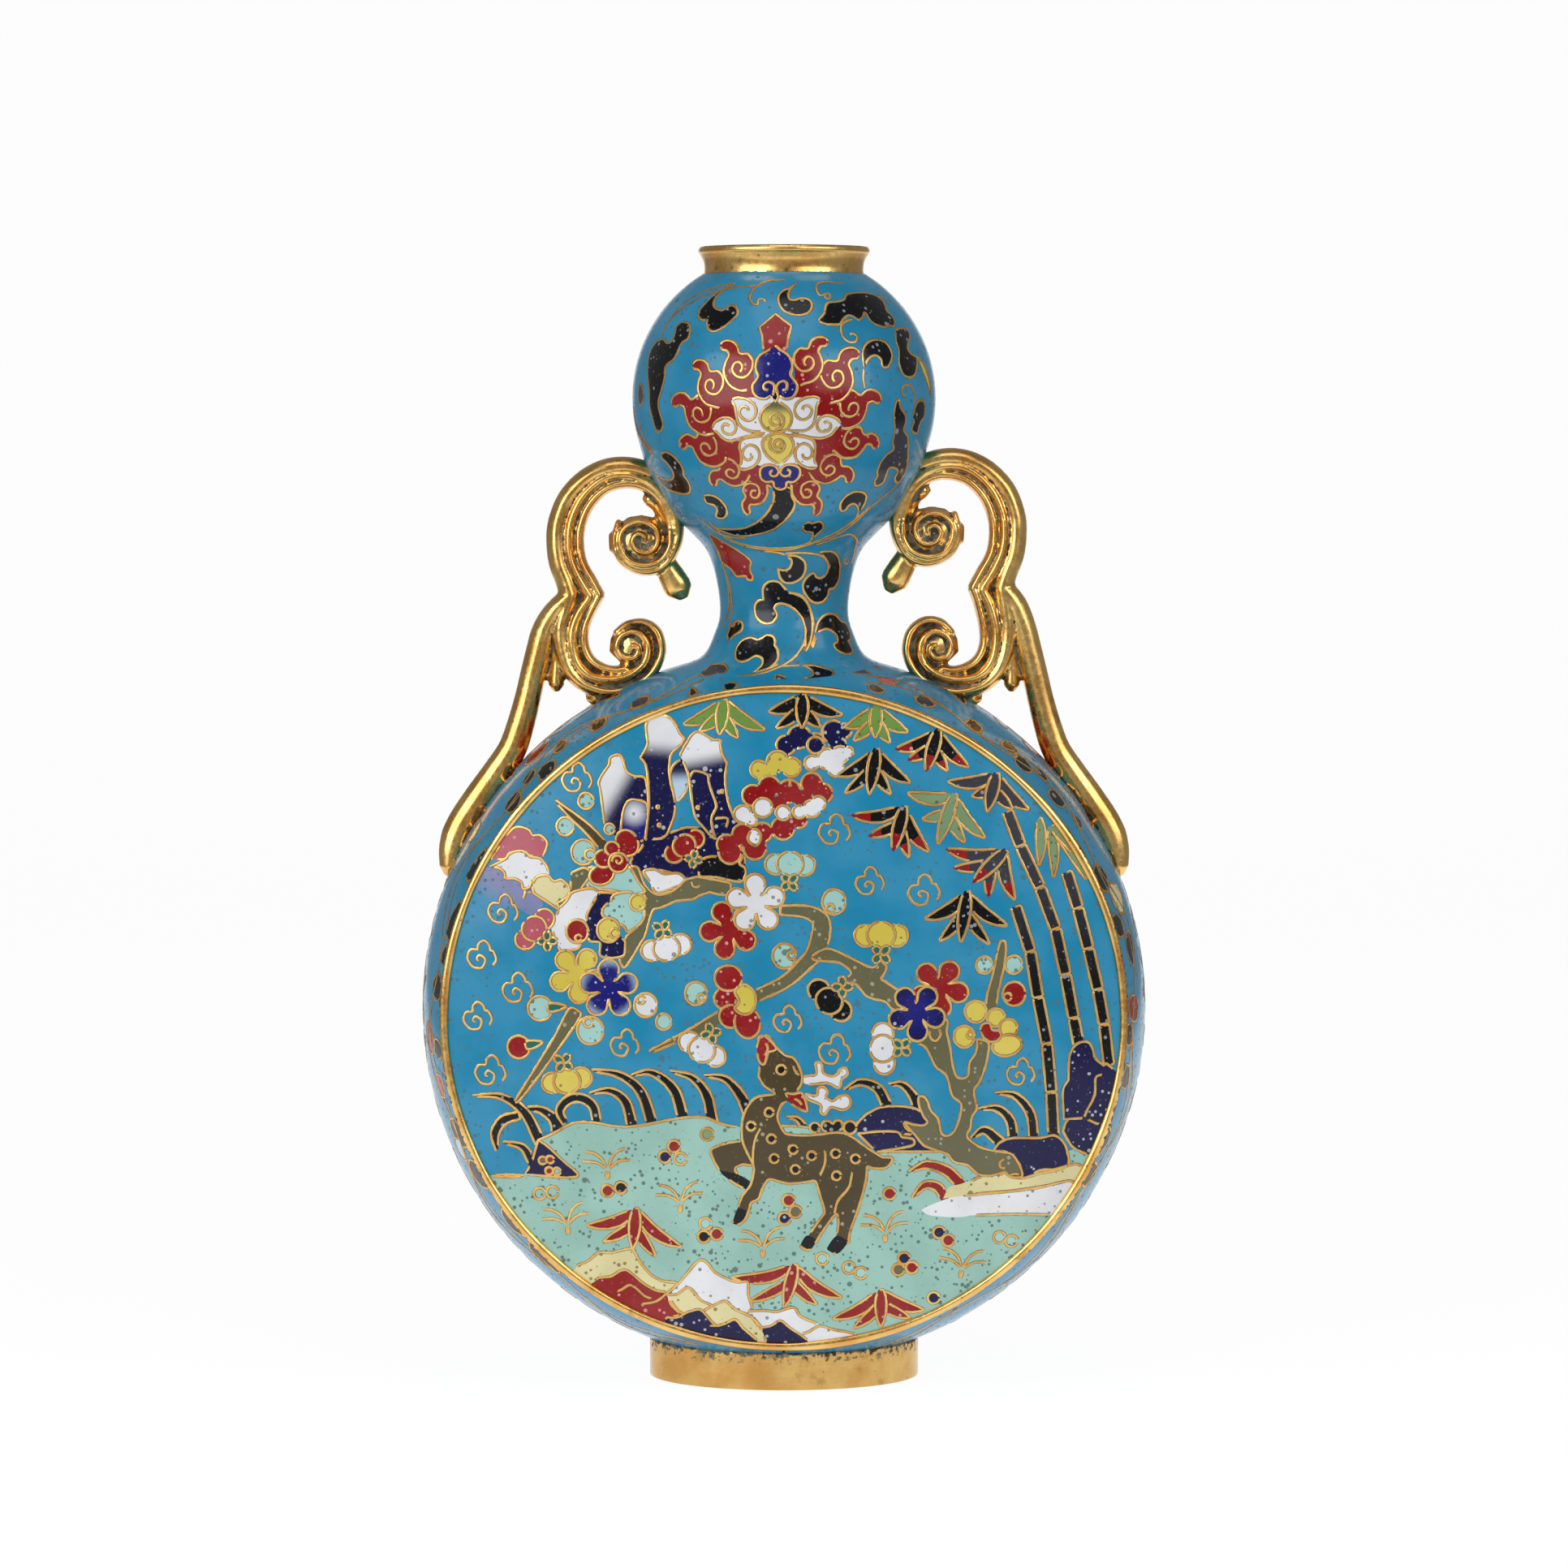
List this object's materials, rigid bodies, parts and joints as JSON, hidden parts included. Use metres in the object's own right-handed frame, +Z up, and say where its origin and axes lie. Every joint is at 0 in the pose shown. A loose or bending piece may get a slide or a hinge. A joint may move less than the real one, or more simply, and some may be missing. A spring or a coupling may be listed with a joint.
{
  "type": "cloisonne vase",
  "caption": "Double-gourd moon flask of copper with a fused enamel coat, a gilt mouth collar, scroll handles, border rings and an oval foot.",
  "frame": {"origin": "centre of the oval foot's resting plane", "axes": "+Z up through the mouth, -Y towards the front roundel, +X towards the right handle as seen from the front"},
  "size_m": [0.16, 0.0668, 0.25],
  "materials": {
    "gilt": "polished, worn fire gilding on cast and turned copper alloy",
    "copper": "bare hammered copper, oxidised inside",
    "enamel_turquoise": "fused enamel, ground flush and polished, small pits",
    "enamel_mint": "fused enamel, ground flush and polished, small pits",
    "enamel_red": "fused enamel, ground flush and polished, small pits",
    "enamel_navy": "fused enamel, ground flush and polished, small pits",
    "enamel_cobalt": "fused enamel, ground flush and polished, small pits",
    "enamel_yellow": "fused enamel, ground flush and polished, small pits",
    "enamel_white": "fused enamel, ground flush and polished, small pits",
    "enamel_black": "fused enamel, ground flush and polished, small pits",
    "enamel_green": "fused enamel, ground flush and polished, small pits",
    "enamel_brown": "fused enamel, ground flush and polished, small pits",
    "enamel_olive": "fused enamel, ground flush and polished, small pits",
    "enamel_cream": "fused enamel, ground flush and polished, small pits"
  },
  "bodies": {
    "root": {"mouth_collar": "gilt", "bulb_enamel": "enamel_turquoise", "bulb_copper": "copper", "neck_enamel": "enamel_turquoise", "neck_copper": "copper", "band_enamel": "enamel_turquoise", "band_copper": "copper", "foot_ring": "gilt", "base_plate": "gilt", "front_panel_enamel": "enamel_turquoise", "front_panel_copper": "copper", "front_border_ring": "gilt", "rear_panel_enamel": "enamel_turquoise", "rear_panel_copper": "copper", "rear_border_ring": "gilt", "left_handle": "gilt", "left_upper_pin": "copper", "left_lower_pin": "copper", "right_handle": "gilt", "right_upper_pin": "copper", "right_lower_pin": "copper"}
  },
  "joints": []
}
